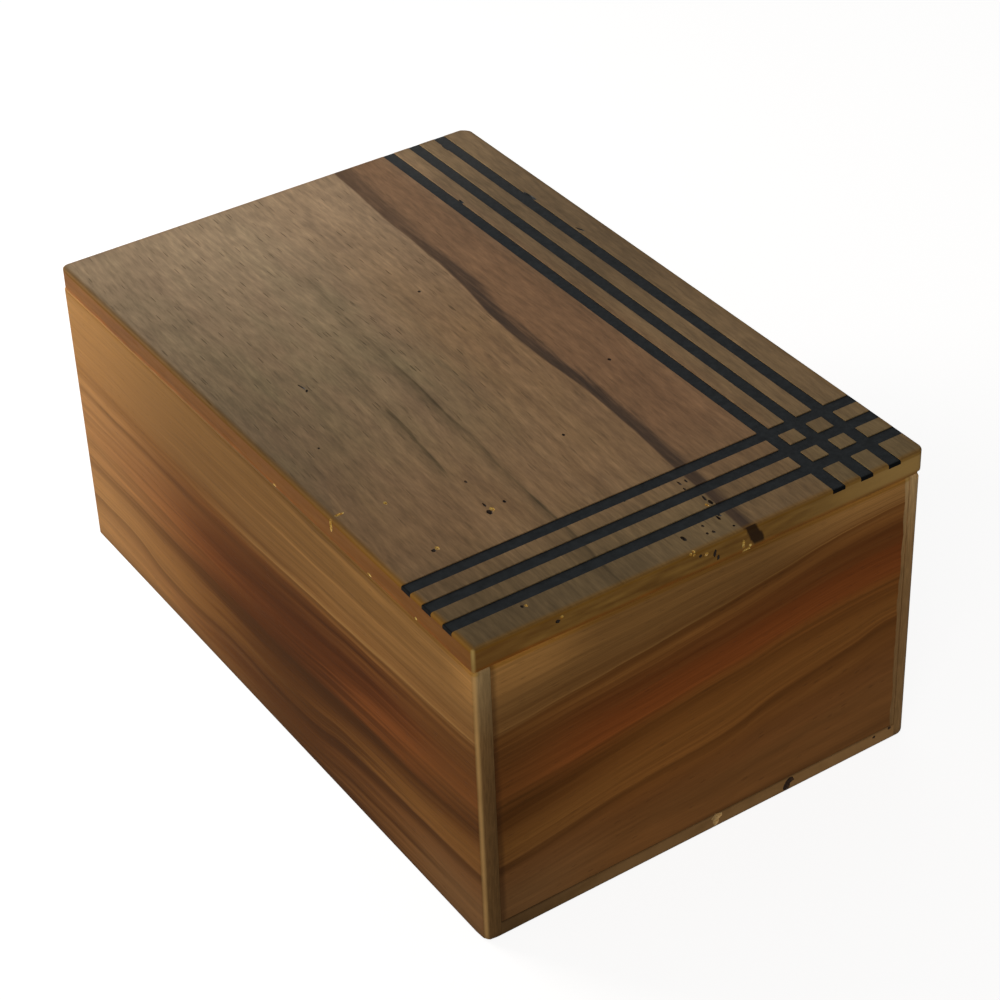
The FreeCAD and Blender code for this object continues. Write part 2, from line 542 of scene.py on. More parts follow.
class Flaws:
    """Small losses cut out of a board, each lined with its own finish."""

    def __init__(self, flaws: tuple[Flaw, ...], lining: bpy.types.Material, seed: int) -> None:
        """Keeps what is cut.

        Args:
            flaws: The losses.
            lining: What shows in them.
            seed: The seed of their ragged edges.
        """
        self.flaws = flaws
        self.lining = lining
        self.seed = seed

    def cutter(self, flaw: Flaw, seed: int) -> bpy.types.Object:
        """A ragged lump of one flaw's size, at its place.

        Args:
            flaw: The flaw to cut.
            seed: The seed of its ragged edge.

        Returns:
            The lump.
        """
        bpy.ops.object.select_all(action="DESELECT")
        middle = tuple(Vector(flaw.at) * MM)
        bpy.ops.mesh.primitive_ico_sphere_add(subdivisions=2, radius=MM, location=middle)
        lump = bpy.context.object
        bpy.ops.object.transform_apply(location=True, rotation=False, scale=False)
        bpy.ops.object.mode_set(mode="EDIT")
        bpy.ops.mesh.select_all(action="SELECT")
        bpy.ops.transform.vertex_random(offset=0.3 * MM, seed=seed)
        bpy.ops.transform.resize(value=flaw.half, center_override=middle)
        bpy.ops.transform.rotate(value=math.radians(flaw.turn), orient_axis="Z", center_override=middle)
        bpy.ops.object.mode_set(mode="OBJECT")
        lump.data.materials.append(self.lining)
        return lump

    def cut(self, piece: bpy.types.Object) -> None:
        """Cuts the flaws out of a piece.

        Args:
            piece: What they are cut out of.
        """
        lumps = [self.cutter(flaw, self.seed + number) for number, flaw in enumerate(self.flaws)]
        for lump in lumps:
            work_on(piece)
            modifier = piece.modifiers.new("loss", "BOOLEAN")
            modifier.operation = "DIFFERENCE"
            modifier.solver = "EXACT"
            modifier.material_mode = "TRANSFER"
            modifier.object = lump
            bpy.ops.object.modifier_apply(modifier=modifier.name)
        for lump in lumps:
            mesh = lump.data
            bpy.data.objects.remove(lump)
            bpy.data.meshes.remove(mesh)


@dataclass(frozen=True)
class Lining:
    """What shows in a pit: two tones and how rough it is."""

    name: str
    dark: Colour
    light: Colour
    rough: float

    def build(self) -> bpy.types.Material:
        """A crumbly material of the two tones.

        Returns:
            The material.
        """
        material = Material(self.name)
        graph = material.graph
        crumbs = graph.noise(graph.stretched(material.place, 2.6, 2.6, 2.6), detail=3.0)
        colour = graph.mix(graph.span(crumbs, 0.4, 0.6), self.dark, self.light)
        return material.finish(colour, self.rough, crumbs, relief=0.15)


@dataclass(frozen=True)
class GrowthLine:
    """A line of the figure: its level in the wood and its heights along the run, in millimetres."""

    level: float
    heights: tuple[tuple[float, float], ...]
    run: tuple[float, float] = (RUN_START, RUN_END)

    def build(self, graph: Graph, run: Feed) -> Socket:
        """The line's height along the run.

        Args:
            graph: The tree to build in.
            run: The place along the run.

        Returns:
            The height in millimetres.
        """
        made = graph.node("FloatCurve", {"Value": graph.span(run, *self.run, smooth=False)})
        points = made.mapping.curves[0].points
        while len(points) < len(self.heights):
            points.new(0.5, 0.5)
        start, end = self.run
        for point, (place, height) in zip(points, self.heights):
            point.location = ((place - start) / (end - start), height / SEAM_HEIGHT)
        made.mapping.update()
        return graph.times(made.outputs[0], SEAM_HEIGHT)


class Wall(Enum):
    """A wall: its node, its run's axis, sign and start, and the sign of its outer face."""

    LEFT = ("left_side", 0, 1.0, -HALF_LENGTH, -1.0)
    FRONT = ("front_end", 1, 1.0, HALF_WIDTH, 1.0)
    RIGHT = ("right_side", 0, -1.0, HALF_LENGTH + 2 * HALF_WIDTH, 1.0)
    REAR = ("rear_end", 1, -1.0, 2 * HALF_LENGTH + 3 * HALF_WIDTH, -1.0)


@dataclass(frozen=True)
class Figure:
    """Where a place lies in the case's figure.

    The run and the height are the place's own, and the level follows the growth lines. The grain frays the
    level into feathered and soft, and the run into ragged.
    """

    graph: Graph
    effects: Effects
    run: Socket
    height: Socket
    level: Socket
    feathered: Socket
    soft: Socket
    ragged: Socket
    grain: dict[str, Socket]

    def line(self, level: Feed, at: float, above: float, below: Feed) -> Socket:
        """The mask of a growth line at a level, with its own edge above and below."""
        made = self.graph.group(self.effects.growth_line, Level=level, At=at, Above=above, Below=below)
        return made["Mask"]


@dataclass(frozen=True)
class CaseWood:
    """The banded board that runs round all four walls: its lines, and the tones between them."""

    dark_line: GrowthLine = GrowthLine(10.4, (
        (-155, 11.6), (-136, 11.3), (-120, 8.9), (-92, 10.3), (-63, 10.5), (-48, 13.4), (-28, 14.7),
        (-2, 15.8), (31, 20.4), (54, 22.6), (65, 25.7), (75, 27.3), (85, 29.1), (96, 31.3), (150, 26.0),
        (205, 15.5), (255, 12.0), (305, 9.5), (355, 11.6)))
    dark_band: GrowthLine = GrowthLine(21.5, (
        (-155, 20.5), (-85, 20.5), (-60, 22.0), (-5, 26.0), (50, 33.5), (92, 38.0), (150, 34.0),
        (205, 25.5), (255, 22.0), (305, 19.5), (355, 20.5)))
    red_band: GrowthLine = GrowthLine(30.0, (
        (-155, 28.0), (-85, 28.4), (-40, 33.0), (-5, 34.6), (50, 39.6), (92, 44.2), (150, 41.0),
        (205, 33.5), (255, 29.5), (305, 28.0), (355, 28.0)))
    light_line: GrowthLine = GrowthLine(44.0, (
        (-155, 44.0), (-85, 43.5), (-48, 45.4), (-5, 47.3), (50, 53.0), (96, 58.0), (150, 54.0),
        (205, 47.0), (255, 44.5), (305, 43.0), (355, 44.0)))
    bands: tuple[tuple[float, Colour], ...] = (
        (0.0, tone(138, 92, 50)), (4.5, tone(146, 97, 52)), (8.0, tone(140, 90, 47)),
        (10.2, tone(126, 80, 40)), (11.4, tone(142, 94, 47)), (15.0, tone(150, 100, 49)),
        (18.5, tone(134, 86, 41)), (21.5, tone(112, 67, 29)), (24.5, tone(122, 71, 32)),
        (27.5, tone(136, 80, 37)), (30.0, tone(144, 83, 39)), (33.0, tone(134, 77, 36)),
        (36.0, tone(123, 71, 33)), (40.0, tone(128, 79, 38)), (42.5, tone(144, 94, 46)),
        (44.0, tone(154, 106, 57)), (50.0, tone(165, 118, 66)), (63.5, tone(171, 124, 69)))
    end_grain: tuple[tuple[float, Colour], ...] = (
        (0.0, tone(139, 104, 63)), (0.55, tone(141, 104, 63)), (0.75, tone(156, 118, 73)),
        (0.88, tone(182, 146, 98)), (1.0, tone(204, 168, 116)))

    def level(self, graph: Graph, run: Feed, height: Feed) -> Socket:
        """How deep in the figure a place is: each line keeps one level wherever it wanders.

        Args:
            graph: The tree to build in.
            run: The place along the run.
            height: The place's height.

        Returns:
            The level, in millimetres.
        """
        lines = (self.dark_line, self.dark_band, self.red_band, self.light_line)
        heights = [0.0, *(line.build(graph, run) for line in lines), SEAM_HEIGHT]
        levels = [0.0, *(line.level for line in lines), SEAM_HEIGHT]
        steps = [
            graph.span(height, heights[i], heights[i + 1], 0.0, levels[i + 1] - levels[i], smooth=False)
            for i in range(len(levels) - 1)
        ]
        return graph.add(*steps)

    def find(self, graph: Graph, effects: Effects, place: Feed) -> Figure:
        """Finds where a place lies in the figure.

        Args:
            graph: The tree to build in.
            effects: The shared node groups.
            place: The run, the depth in the board and the height.

        Returns:
            Its place in the figure.
        """
        run, depth, height = graph.parts(place)
        wobble = graph.noise(graph.stretched(place, 0.035, 0.15, 0.08), detail=3.0)
        level = self.level(graph, run, graph.add(height, graph.swing(wobble, 0.4)))
        grain = graph.group(effects.grain, Place=graph.vector(run, depth, level), Seed=0.0)
        streaks, lines = grain["Streaks"], grain["Lines"]
        return Figure(
            graph, effects, run, height, level, grain=grain,
            feathered=graph.add(level, graph.swing(streaks, 3.2), graph.swing(lines, 1.2)),
            soft=graph.add(graph.swing(lines, 0.5), level),
            ragged=graph.add(run, graph.swing(streaks, 26.0), graph.swing(lines, 14.0)),
        )

    def banded(self, at: Figure) -> Socket:
        """The bands' colour, which changes along the run.

        Args:
            at: The place in the figure.

        Returns:
            The colour, paler at the rear, redder and dustier towards the front and darker midway.
        """
        graph, run = at.graph, at.run
        stops = [(level / SEAM_HEIGHT, colour) for level, colour in self.bands]
        colour = graph.ramp(graph.span(at.feathered, 0.0, SEAM_HEIGHT, smooth=False), stops)
        pale = graph.add(graph.span(run, -155.0, -90.0, 0.66, 0.0), graph.span(run, 215.0, 320.0, 0.0, 0.7))
        pale = graph.times(pale, graph.span(at.level, 41.0, 45.0, 1.0, 0.35))
        warm = graph.add(graph.span(run, -90.0, -45.0, 0.0, 0.1), graph.span(run, 4.0, 40.0, 0.0, 0.16))
        warm = graph.times(graph.window(at.feathered, 30.5, 2.0, 5.0), warm)
        lift = graph.times(graph.span(run, 10.0, 42.0, 0.0, 0.55), graph.window(at.level, 18.0, 7.0, 4.0))
        greyed = graph.times(graph.window(run, 0.0, 8.0, 26.0), graph.span(at.level, 4.0, 13.0, 0.4, 0.0))
        brown = graph.times(graph.window(run, -2.0, 6.0, 24.0), graph.window(at.level, 32.0, 6.0, 6.0), 0.5)
        colour = graph.tinted(
            colour,
            (pale, tone(188, 139, 86)),
            (warm, tone(156, 74, 30)),
            (lift, tone(160, 101, 46)),
            (greyed, tone(146, 112, 74)),
            (brown, tone(128, 84, 41)),
        )
        ragged = at.ragged
        dark = graph.add(graph.window(ragged, -64.0, 4.0, 46.0), graph.window(ragged, 176.0, 10.0, 60.0))
        dark = graph.times(dark, graph.span(at.feathered, 34.0, 45.0, 0.85, 0.0))
        colour = graph.mix(dark, colour, tone(196, 180, 160), "MULTIPLY")
        return graph.mix(graph.times(dark, 0.45), colour, tone(86, 52, 24))

    def lined(self, at: Figure, colour: Feed) -> Socket:
        """Draws the growth lines.

        Args:
            at: The place in the figure.
            colour: The bands' colour.

        Returns:
            The colour with the lines in it.
        """
        graph, run, soft = at.graph, at.run, at.soft
        fresh = graph.times(graph.span(run, -140.0, -60.0, 0.45, 0.9), graph.span(run, 0.0, 40.0, 1.0, 0.8))
        below = graph.span(run, -60.0, 20.0, 3.4, 1.3)
        broad = graph.span(run, -155.0, -60.0, 0.36, 0.58)
        broad = graph.times(broad, graph.span(run, -5.0, 28.0, 1.0, 0.35))
        bright = graph.add(graph.span(run, -12.0, 6.0, 1.0, 0.3), graph.span(run, 18.0, 46.0, 0.0, 0.45))
        bright = graph.times(graph.span(run, -104.0, -74.0), bright, graph.span(run, 90.0, 120.0, 1.0, 0.4))
        rear = graph.window(at.ragged, -110.0, 22.0, 45.0)
        fine = tone(92, 56, 26)
        lines = (
            (at.line(at.level, self.dark_line.level, 0.7, below), graph.times(fresh, 0.6), tone(84, 50, 22)),
            (at.line(at.feathered, 21.8, 3.4, 3.0), broad, tone(88, 54, 24)),
            (at.line(soft, 43.3, 0.6, 1.6), graph.add(graph.times(bright, 0.22), 0.18), tone(96, 58, 27)),
            (at.line(soft, 44.1, 1.1, 0.4), graph.times(bright, 0.38), tone(206, 158, 92)),
            (at.line(soft, 40.2, 0.9, 1.6), graph.times(rear, 0.5), fine),
            (at.line(soft, 35.0, 0.4, 0.7), graph.times(rear, 0.3), fine),
            (at.line(soft, 32.6, 0.4, 0.6), graph.times(rear, 0.3), fine),
        )
        return graph.tinted(colour, *((graph.times(mask, share), tint) for mask, share, tint in lines))

    def shade(self, at: Figure) -> Socket:
        """How light or dark the grain and the light and dull stretches make a place.

        Args:
            at: The place in the figure.

        Returns:
            The factor on its colour.
        """
        graph, run, level = at.graph, at.run, at.level
        dip = graph.times(graph.window(at.ragged, -84.0, 10.0, 62.0), graph.span(level, 42.0, 46.0, 0.0, 0.3))
        low = graph.times(graph.span(level, 42.0, 46.0, 1.0, 0.0), graph.span(run, -4.0, 20.0, 0.0, 0.36))
        ends = graph.add(graph.window(run, 8.0, 4.0, 16.0), graph.window(run, 92.0, 6.0, 26.0))
        ends = graph.times(ends, graph.span(at.height, 53.0, 60.0, 0.0, 0.65))
        return graph.times(
            graph.factor(at.grain["Streaks"], 0.85, 1.12),
            graph.factor(at.grain["Lines"], 0.84, 1.16),
            graph.factor(at.grain["Fibre"], 0.88, 1.13),
            graph.less(1.0, dip),
            graph.add(low, ends, 1.0),
        )

    def figure(self, graph: Graph, effects: Effects, place: Feed) -> tuple[Socket, dict[str, Socket]]:
        """The colour of the wood at a place of the run.

        Args:
            graph: The tree to build in.
            effects: The shared node groups.
            place: The run, the depth in the board and the height.

        Returns:
            The colour, and the grain's masks.
        """
        at = self.find(graph, effects, place)
        colour = graph.shaded(self.lined(at, self.banded(at)), self.shade(at))
        return graph.mix(graph.times(at.grain["Pores"], 0.22), colour, tone(70, 44, 24)), at.grain


@dataclass
class Case:
    """The four walls and the bottom board, and their worn and lost places."""

    wood: CaseWood = field(default_factory=CaseWood)
    foot_wear: tuple[tuple[float, float, float], ...] = ((6.8, 4.0, 0.7), (4.4, 2.6, 1.1), (2.6, 1.6, 1.5))
    chips: tuple[Flaw, ...] = (on_front(2.7, 2.7, 0.5, 1.3, 0.8), on_front(2.4, 1.8, 0.5, 0.85, 1.2))
    holes: tuple[Flaw, ...] = (
        on_front(20.3, 2.5, 0.6, 1.1, 0.85), on_front(19.6, 1.5, 0.5, 0.95, 1.1),
        on_front(45.4, 3.1, 0.35, 0.45, 0.4), on_front(41.5, 2.7, 0.35, 0.4, 0.35))

    def rightward(self, graph: Graph, across: Feed, left: float, right: float) -> Socket:
        """A value that changes from the left of the box to its right."""
        return graph.span(across, -40.0, 40.0, left, right)

    def lip_grain(self, material: Material) -> Socket:
        """The end grain of the sides' lips, lighter on the right, partly by painted light.

        Args:
            material: The material under construction.

        Returns:
            The lips' colour.
        """
        graph = material.graph
        _, across, height = graph.parts(material.place)
        speckle = graph.noise(graph.stretched(material.place, 0.5, 3.0, 0.35), detail=3.0)
        end = graph.ramp(graph.span(height, 0.0, SEAM_HEIGHT, smooth=False), list(self.wood.end_grain))
        end = graph.mix(self.rightward(graph, across, 0.0, 0.3), end, tone(148, 118, 80))
        inward = graph.less(HALF_WIDTH, graph.size(across))
        # painted light in part: the right lips made up to about twice as light as the left ones
        return graph.shaded(end, graph.times(
            graph.span(inward, 0.0, LIP, 1.12, 0.8, smooth=False),
            self.rightward(graph, across, 1.0, 2.1),
            graph.factor(speckle, 0.78, 1.15),
        ))

    def with_lips(self, material: Material, colour: Feed) -> Socket:
        """Puts end grain on the lips of a side.

        Args:
            material: The side's material.
            colour: The colour of its face.

        Returns:
            The colour with the lips in it.
        """
        graph = material.graph
        along, across, _ = graph.parts(material.place)
        edge = graph.less(HALF_LENGTH, self.rightward(graph, across, 0.5, 1.9))
        flat_end = graph.span(graph.size(along), edge, graph.add(edge, 0.4))
        return graph.mix(flat_end, colour, self.lip_grain(material))

    def with_joints(self, material: Material, colour: Feed) -> Socket:
        """Darkens an end panel along its joints and foot, partly with painted shade, and laps it with end
        grain on the right.

        Args:
            material: The panel's material.
            colour: The colour of its face.

        Returns:
            The colour with the joints in it.
        """
        graph = material.graph
        _, across, height = graph.parts(material.place)
        fray = graph.swing(graph.noise(graph.stretched(material.place, 0.3, 0.3, 0.16), detail=3.0), 0.35)
        # dark joint line with painted shade beside it
        joint_and_shade = graph.span(graph.add(graph.size(across), fray), 45.0, 46.3)
        lap = graph.span(graph.add(across, fray), 45.4, 45.7)
        # painted shade along the panel's foot, above the bottom board, partly its dark joint
        foot = graph.add(graph.times(graph.window(across, 10.0, 8.0, 14.0), 0.24), 0.08)
        return graph.tinted(
            colour,
            (graph.times(joint_and_shade, self.rightward(graph, across, 0.5, 0.12)), tone(66, 43, 27)),
            (lap, self.lip_grain(material)),
            (graph.times(graph.span(height, 3.6, 5.0, 1.0, 0.0), foot), tone(62, 37, 18)),
        )

    def wall_wood(self, wall: Wall, effects: Effects) -> bpy.types.Material:
        """The wood of one wall, whose figure meets its neighbours' at the corners.

        Args:
            wall: Which wall.
            effects: The shared node groups.

        Returns:
            Its material.
        """
        node, axis, sign, start, outer = wall.value
        half, joined = ((HALF_WIDTH, self.with_lips), (HALF_LENGTH, self.with_joints))[axis]
        material = Material(f"{node}_wood")
        graph = material.graph
        parts = graph.parts(material.place)
        height = parts[2]
        run = graph.add(graph.times(parts[axis], sign), start)
        depth = graph.less(half, graph.times(parts[1 - axis], outer))
        colour, grain = self.wood.figure(graph, effects, graph.vector(run, depth, height))
        corner = graph.group(effects.arris, Place=material.place, Width=0.95)["Corner"]
        rubbed = graph.noise(graph.stretched(material.place, 0.1, 0.1, 0.12), detail=2.0)
        # rubbed corner arris: partly wear, partly a painted highlight
        worn = graph.times(corner, graph.span(height, 0.0, 62.0, 0.85, 1.0), graph.factor(rubbed, 0.75, 1.1))
        # darker towards the bottom
        darkening = graph.span(height, 0.2, 2.6, 0.4, 0.0)
        colour = joined(material, colour)
        colour = graph.tinted(colour, (worn, tone(250, 198, 126)), (darkening, tone(78, 56, 34)))
        # under the seam the rim turns amber and darker: partly lacquer, partly painted shade
        seam = graph.times(graph.span(height, 62.4, 63.0), graph.span(depth, 0.6, 1.6, 1.0, 0.0))
        colour = graph.mix(seam, colour, (0.86, 0.8, 0.55, 1.0), "MULTIPLY")
        inside = graph.span(depth, 4.5, 7.6)
        colour = graph.mix(graph.times(inside, 0.55), colour, BARE_WOOD)
        fibre, pores, lines = grain["Fibre"], grain["Pores"], grain["Lines"]
        rough = graph.add(graph.factor(fibre, 0.36, 0.48), graph.times(inside, 0.25))
        relief = graph.add(fibre, graph.times(pores, -0.9), graph.times(lines, 0.6))
        return material.finish(colour, rough, relief, relief=0.035, Specular_IOR_Level=0.03)

    def bottom_wood(self, effects: Effects) -> bpy.types.Material:
        """The plainer wood of the bottom board, greyer along its edges.

        Args:
            effects: The shared node groups.

        Returns:
            The material.
        """
        material = Material("bottom_wood")
        graph = material.graph
        along, across, height = graph.parts(material.place)
        grain = graph.group(effects.grain, Place=graph.vector(along, height, across), Seed=0.53)
        colour = graph.blend(grain["Streaks"], tone(134, 97, 56), tone(156, 115, 68), tone(172, 131, 82))
        fibre, lines = grain["Fibre"], grain["Lines"]
        shade = graph.times(graph.factor(lines, 0.82, 1.16), graph.factor(fibre, 0.86, 1.12))
        colour = graph.shaded(colour, shade)
        blotch = graph.noise(graph.stretched(material.place, 0.12, 0.12, 0.5), detail=3.0)
        sawn = graph.span(graph.size(along), HALF_LENGTH - 0.6, HALF_LENGTH - 0.2, 0.0, 0.8)
        edge = graph.between(blotch, tone(140, 105, 64), tone(162, 124, 80))
        # darker towards the bottom and near the board's top face
        darkening = graph.add(graph.span(height, 0.1, 1.0, 0.4, 0.0), graph.span(height, 3.0, 3.5, 0.0, 0.4))
        colour = graph.tinted(
            colour,
            (graph.span(blotch, 0.52, 0.7, 0.0, 0.5), tone(96, 68, 42)),
            (sawn, edge),
            (darkening, tone(74, 54, 34)),
        )
        spread = graph.span(across, -46.0, -14.0, 0.62, 1.3)
        spread = graph.times(spread, graph.span(across, -14.0, 46.0, 1.06, 1.4))
        colour = graph.shaded(colour, graph.span(sawn, 0.0, 0.8, 1.25, spread))
        rough = graph.factor(fibre, 0.44, 0.6)
        return material.finish(colour, rough, fibre, relief=0.04, Specular_IOR_Level=0.05)

    def wear_foot(self) -> None:
        """Rounds the left side's front foot by flat cuts, each given by its reach back, inwards and up."""
        board = merged_copy("left_side", "worn_left_side")
        corner = Vector((HALF_LENGTH, -HALF_WIDTH, 0.0))
        for back, inward, up in self.foot_wear:
            pare(board, corner - Vector((back, 0.0, 0.0)), Vector((1.0 / back, -1.0 / inward, -1.0 / up)))
        stands_for(board, "left_side", "case")

    def bruise_right(self) -> None:
        """Works the bruise at the front end of the seam into the right side."""
        board = merged_copy("right_side", "bruised_right_side")
        Flaws(SEAM_BRUISE, board.data.materials[0], BRUISE_SEED).cut(board)
        stands_for(board, "right_side", "case")

    def build(self, effects: Effects) -> None:
        """Dresses the walls, and works the losses into the sides and the bottom board.

        Args:
            effects: The shared node groups.
        """
        for wall in Wall:
            put_on(wall.value[0], self.wall_wood(wall, effects))
        self.wear_foot()
        self.bruise_right()
        put_on("bottom_board", self.bottom_wood(effects))
        board = merged_copy("bottom_board", "chipped_bottom")
        fresh = Lining("fresh_wood", tone(222, 176, 108), tone(244, 206, 142), 0.6).build()
        Flaws(self.chips, fresh, 11).cut(board)
        shadow = Lining("open_hole", tone(52, 33, 16), tone(86, 56, 30), 0.7).build()
        Flaws(self.holes, shadow, 23).cut(board)
        stands_for(board, "bottom_board", "case")


@dataclass(frozen=True)
class OliveLine:
    """An olive line of the lid, in millimetres.

    Its path is its height across at the lid's middle and its slope. It sets in over a stretch, up to a
    strength, and a swell is a middle, a reach, an edge and a strength.
    """

    path: tuple[float, float]
    sets_in: tuple[float, float, float]
    swells: tuple[tuple[float, float, float, float], ...]
    stop: float

    def strength(self, graph: Graph, along: Feed) -> Socket:
        """How strong the line is along the lid.

        Args:
            graph: The tree to build in.
            along: The place along the lid.

        Returns:
            Its strength.
        """
        start, end, most = self.sets_in
        swells = (graph.times(graph.window(along, *swell), share) for *swell, share in self.swells)
        return graph.add(graph.span(along, start, end, 0.0, most), *swells)


@dataclass(frozen=True)
class LidPlace:
    """Where a place lies on the lid, its height across the slanting grain, and the grain there."""

    graph: Graph
    effects: Effects
    along: Socket
    across: Socket
    height: Socket
    slope: Socket
    patch: Socket
    feather: Socket
    grain: dict[str, Socket]

    def pores(self, length: float, width: float, seed: float) -> Socket:
        """Pores stretched by their own length and width.

        Args:
            length: What the place along the grain is multiplied by.
            width: What the slope is multiplied by.
            seed: Which field of grain they come from.

        Returns:
            The pores' strength.
        """
        place = self.graph.vector(
            self.graph.times(self.along, length), self.height, self.graph.times(self.slope, width))
        return self.graph.group(self.effects.grain, Place=place, Seed=seed)["Pores"]


@dataclass(frozen=True)
class LidWood:
    """The lid's grey-brown wood: a dark streak, by height and slope, its bends, and the olive lines."""

    dark_streak: tuple[float, float] = (11.5, -0.049)
    dark_bends: tuple[tuple[float, float], ...] = ((-4.0, -0.8), (34.0, 0.9))
    olive_lines: tuple[OliveLine, ...] = (
        OliveLine((-14.2, -0.06), (-60.0, -40.0, 0.35),
                  ((9.0, 9.0, 8.0, 0.6), (38.0, 8.0, 8.0, 0.35), (64.0, 14.0, 6.0, 0.5)), 120.0),
        OliveLine((-22.5, -0.095), (-22.0, -8.0, 0.3), ((20.0, 9.0, 7.0, 0.65),), 36.0))

    def wander(self, graph: Graph, along: Feed, path: tuple[float, float], most: float,
               seed: float) -> Socket:
        """Where a streak runs.

        Args:
            graph: The tree to build in.
            along: The place along the lid.
            path: The streak's height across at the middle, and its slope.
            most: How far it wanders.
            seed: Which way it wanders.

        Returns:
            Its height across.
        """
        bend = graph.noise(graph.vector(graph.times(along, 0.026), seed, 0.0), detail=3.0)
        return graph.add(graph.times(along, path[1]), path[0], graph.swing(bend, most))

    def find(self, graph: Graph, effects: Effects, place: Feed) -> LidPlace:
        """Finds where a place lies in the lid's grain.

        Args:
            graph: The tree to build in.
            effects: The shared node groups.
            place: The place in millimetres.

        Returns:
            Its place on the lid.
        """
        along, across, height = graph.parts(place)
        bend = graph.noise(graph.stretched(place, 0.012, 0.02, 0.02), detail=1.0)
        slope = graph.add(across, graph.times(along, 0.035), graph.swing(bend, 1.5))
        grain_place = graph.vector(graph.times(along, 4.0), height, slope)
        grain = graph.group(effects.grain, Place=grain_place, Seed=0.37)
        patch = graph.noise(graph.stretched(place, 0.06, 0.2, 0.2), detail=3.0)
        feather = graph.swing(grain["Lines"], 2.5)
        return LidPlace(graph, effects, along, across, height, slope, patch, feather, grain)

    def ground(self, at: LidPlace) -> Socket:
        """The wood between the streaks.

        Args:
            at: The place on the lid.

        Returns:
            Its colour: duller on the left, paler at the rear with painted sheen, and greener at the right and
                front.
        """
        graph, along, across = at.graph, at.along, at.across
        colour = graph.blend(at.grain["Streaks"], tone(148, 114, 78), tone(168, 131, 90), tone(180, 142, 100))
        frayed = graph.add(across, at.feather)
        dull = graph.times(graph.span(frayed, 4.0, -14.0), graph.span(along, 48.0, -10.0), 0.7)
        # painted sheen: the top made paler and greyer towards the rear left
        rear = graph.times(graph.span(along, 5.0, -77.0), graph.span(across, 34.0, 10.0, 0.3, 0.6))
        return graph.tinted(
            colour,
            (graph.factor(at.patch, 0.0, 0.22), tone(168, 130, 100)),
            (dull, graph.between(at.patch, tone(150, 135, 101), tone(163, 136, 104))),
            (rear, tone(198, 170, 138)),
            (graph.span(frayed, 28.0, 36.0, 0.0, 0.6), tone(150, 124, 86)),
            (graph.span(along, 46.0, 72.0, 0.0, 0.75), tone(138, 116, 78)),
        )

    def streaked(self, at: LidPlace, colour: Feed) -> Socket:
        """Draws the dark streak and the redder wood beyond it.

        Args:
            at: The place on the lid.
            colour: The colour so far.

        Returns:
            The colour with the streak in it.
        """
        graph, along, across = at.graph, at.along, at.across
        bends = (graph.times(graph.window(along, bend, 6.0, 16.0), aside) for bend, aside in self.dark_bends)
        streak = graph.add(self.wander(graph, along, self.dark_streak, 0.7, 0.3), *bends)
        over = graph.less(across, streak)
        reddish = graph.times(
            graph.span(over, -0.3, 0.3),
            graph.span(across, 24.0, 33.0, 0.75, 0.0),
            graph.span(along, 36.0, 66.0, 1.0, 0.35),
        )
        swell = graph.noise(graph.vector(graph.times(along, 0.03), 4.0, 0.0), detail=2.0)
        thick = graph.add(graph.span(along, -77.0, -40.0, 3.9, 2.7), graph.swing(swell, 0.9))
        frayed = graph.add(over, graph.times(at.feather, 0.3))
        dark = graph.times(
            graph.span(over, -0.25, 0.25),
            graph.span(frayed, graph.times(thick, 0.6), graph.times(thick, 1.4), 1.0, 0.0),
            graph.span(along, -60.0, -10.0, 0.7, 1.0),
            graph.factor(at.grain["Lines"], 1.1, 0.8),
        )
        return graph.tinted(colour, (reddish, tone(154, 112, 78)), (dark, tone(88, 67, 50)))

    def olived(self, at: LidPlace, colour: Feed) -> Socket:
        """Draws the olive lines, each a thin core with a halo on its left.

        Args:
            at: The place on the lid.
            colour: The colour so far.

        Returns:
            The colour with the lines in it.
        """
        graph, along = at.graph, at.along
        for line in self.olive_lines:
            away = graph.less(at.across, self.wander(graph, along, line.path, 0.4, line.stop))
            away = graph.add(away, graph.times(at.feather, 0.14))
            core = graph.times(graph.span(away, -0.8, -0.1), graph.span(away, 0.1, 0.5, 1.0, 0.0))
            halo = graph.times(graph.span(away, -3.4, -0.3, 0.0, 0.55), graph.span(away, 0.0, 0.9, 1.0, 0.0))
            share = graph.times(
                graph.most(core, halo),
                line.strength(graph, along),
                graph.factor(at.patch, 0.7, 1.1),
                graph.span(along, line.stop - 6.0, line.stop, 1.0, 0.0),
            )
            colour = graph.mix(share, colour, tone(100, 82, 54))
        return colour

    def shade(self, at: LidPlace) -> Socket:
        """How light or dark the grain, the flecks and the duller places make the lid.

        Args:
            at: The place on the lid.

        Returns:
            The factor on its colour.
        """
        graph, along, across = at.graph, at.along, at.across
        fleck_place = graph.stretched(graph.vector(along, at.slope, at.height), 0.2, 1.1, 0.3)
        flecks = graph.noise(fleck_place, detail=2.0, rough=0.6)
        near = graph.times(graph.span(along, 46.0, 72.0), graph.span(across, 4.0, -20.0, 0.0, 0.22))
        dip = graph.times(graph.window(along, -28.0, 14.0, 34.0), graph.span(across, 20.0, 30.0, 0.0, 0.24))
        return graph.times(
            graph.factor(at.grain["Lines"], 0.9, 1.1),
            graph.factor(flecks, 0.77, 1.15),
            graph.factor(at.grain["Fibre"], 0.88, 1.1),
            graph.factor(at.grain["Mottle"], 0.92, 1.07),
            graph.span(across, -24.0, -42.0, 1.0, 0.8),
            graph.less(1.0, graph.add(dip, near)),
        )

